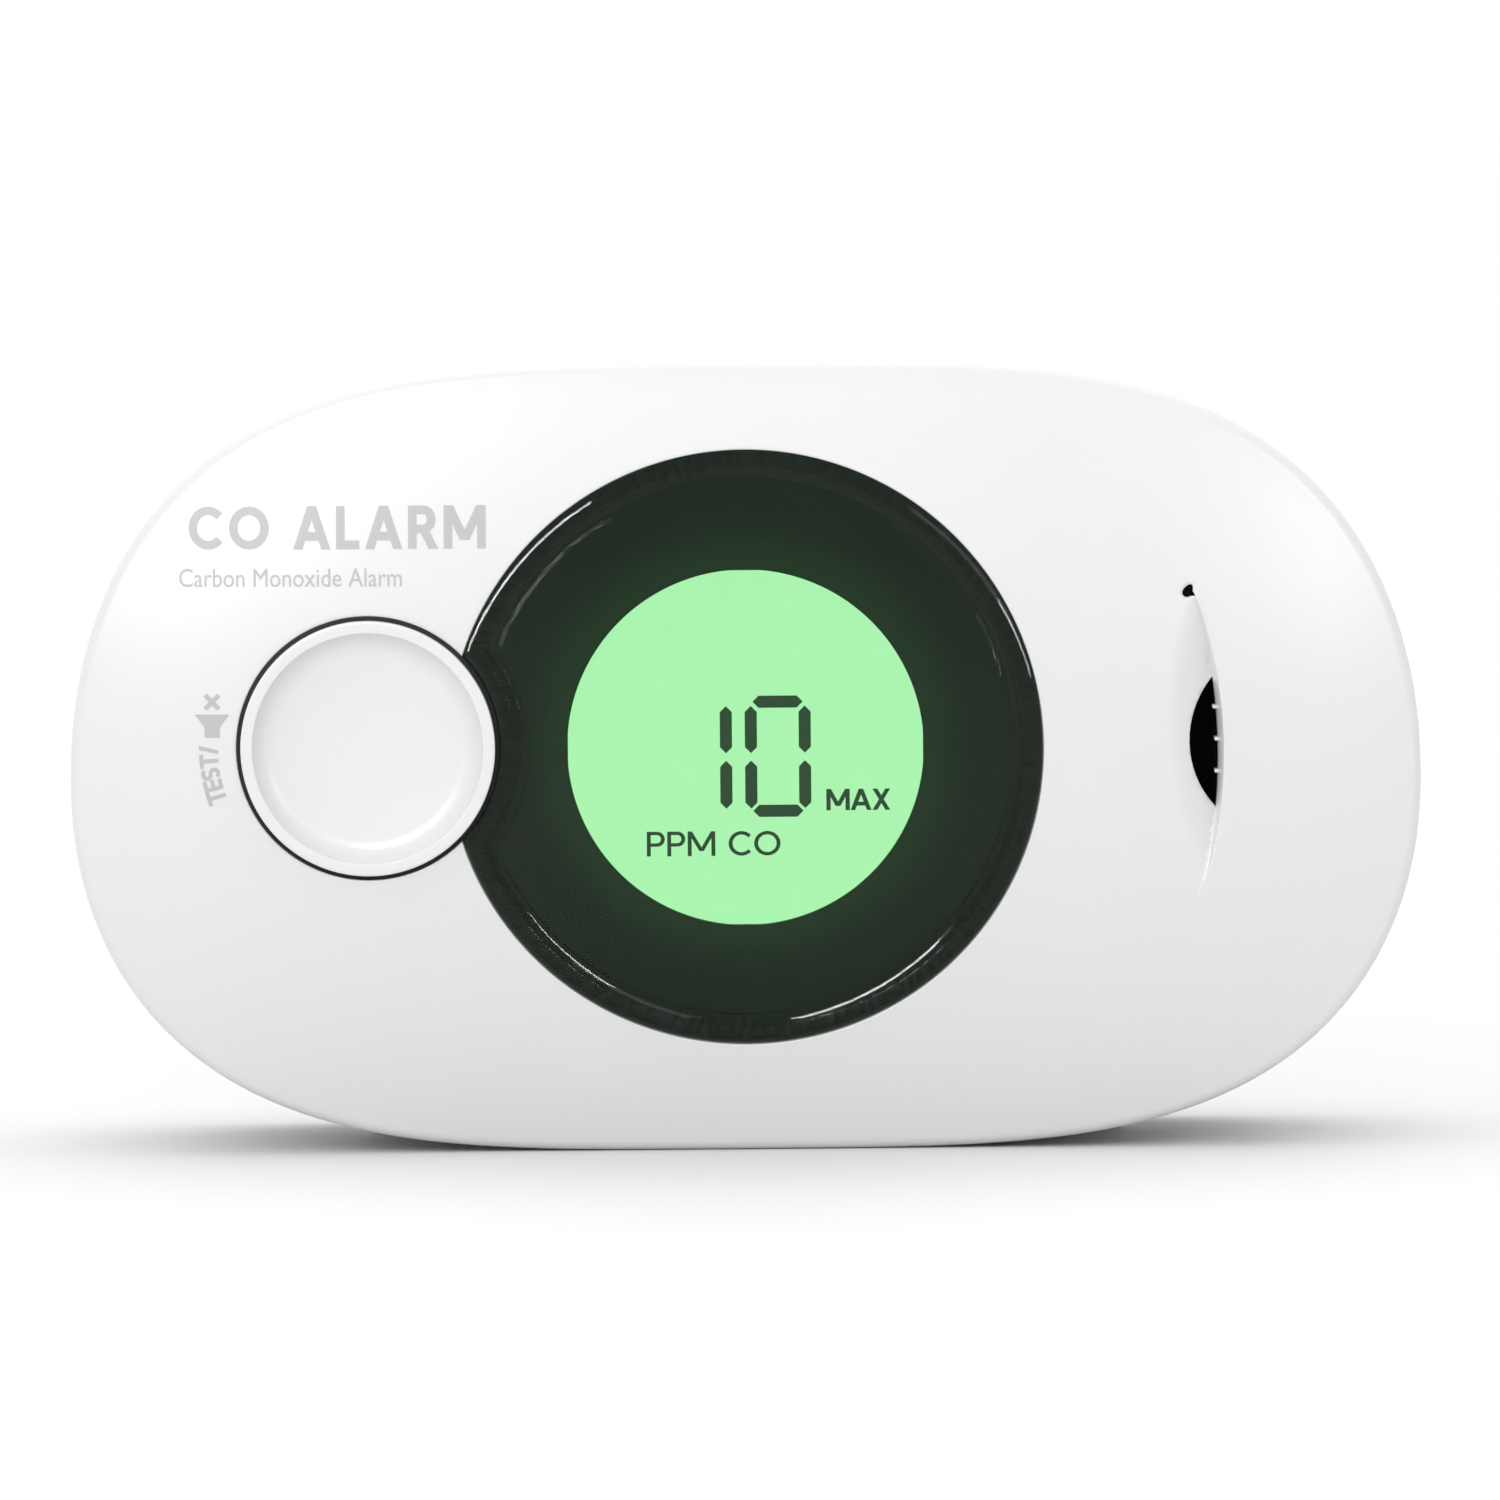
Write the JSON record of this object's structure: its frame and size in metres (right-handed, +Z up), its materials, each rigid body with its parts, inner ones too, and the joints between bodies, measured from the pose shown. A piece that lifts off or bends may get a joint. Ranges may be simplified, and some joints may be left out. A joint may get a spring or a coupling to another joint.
{
  "type": "carbon monoxide detector",
  "caption": "Rounded white carbon monoxide detector with a round smoked display window, a test button, a sounder gill and keyholes for wall fixing.",
  "frame": {"origin": "under the middle of the case, on the surface that it stands on", "axes": "+X to the right seen from the front, +Z up, the front faces -Y"},
  "size_m": [0.12, 0.037, 0.07],
  "materials": {
    "case_white": "semi-gloss moulded",
    "button_white": "satin moulded",
    "smoked_lens": "polished smoked plastic",
    "gasket_rubber": "matt",
    "dark_film": "matt printed film",
    "lit_display": "lit from behind",
    "diffuser_white": "frosted",
    "frame_white": "moulded",
    "connector_rubber": "matt",
    "spring_steel": "drawn wire",
    "ring_black": "moulded",
    "board_green": "solder mask",
    "switch_black": "moulded",
    "plated_steel": "nickel plated",
    "slider_grey": "moulded",
    "gold_pin": "gold plated",
    "brass_disc": "rolled",
    "cell_sleeve": "shrink sleeve",
    "aluminium_can": "drawn",
    "led_green": "moulded",
    "led_red": "moulded",
    "led_yellow": "moulded",
    "clear_plastic": "polished",
    "screw_steel": "zinc plated",
    "label_film": "matt silver film"
  },
  "bodies": {
    "case": {"front_housing": "case_white", "rear_housing": "case_white", "display_lens": "smoked_lens", "lens_gasket": "gasket_rubber", "display_surround": "dark_film", "lcd_cell": "lit_display", "lcd_backlight": "diffuser_white", "lcd_holder": "frame_white", "lcd_connectors": "connector_rubber", "button_spring": "spring_steel", "button_ring": "ring_black", "main_pcb": "board_green", "tact_switch": "switch_black", "slide_switch": "plated_steel", "sensor_can": "plated_steel", "sensor_cap": "frame_white", "sensor_pins": "gold_pin", "sounder_case": "ring_black", "piezo_disc": "brass_disc", "sounder_mesh": "ring_black", "sounder_leads": "plated_steel", "battery_cell": "cell_sleeve", "battery_tabs": "plated_steel", "microcontroller": "ring_black", "boost_inductor": "ring_black", "capacitors": "aluminium_can", "resistors": "ring_black", "power_led": "led_green", "alarm_led": "led_red", "fault_led": "led_yellow", "light_pipes": "clear_plastic", "case_screws": "screw_steel", "pcb_screws": "screw_steel", "rating_label": "label_film"},
    "button": {"test_button": "button_white"},
    "plunger": {"tact_plunger": "switch_black"},
    "slider": {"activation_slider": "slider_grey"},
    "lever": {"slide_lever": "switch_black"}
  },
  "joints": [
    {"name": "button_press", "type": "slide", "parent": "case", "child": "button", "axis": [0, 1, 0], "range_m": [0, 0.0012], "stiffness_N_per_m": 800, "deforming": ["button_spring"]},
    {"name": "tact_plunger_travel", "type": "slide", "parent": "case", "child": "plunger", "axis": [0, 1, 0], "range_m": [0, 0.0012]},
    {"name": "activation_slide", "type": "slide", "parent": "case", "child": "slider", "axis": [-1, 0, 0], "range_m": [0, 0.004]},
    {"name": "slide_lever_travel", "type": "slide", "parent": "case", "child": "lever", "axis": [-1, 0, 0], "range_m": [0, 0.004]}
  ],
  "couplings": [
    {"joint": "tact_plunger_travel", "follows": "button_press", "ratio": 1},
    {"joint": "slide_lever_travel", "follows": "activation_slide", "ratio": 1}
  ]
}
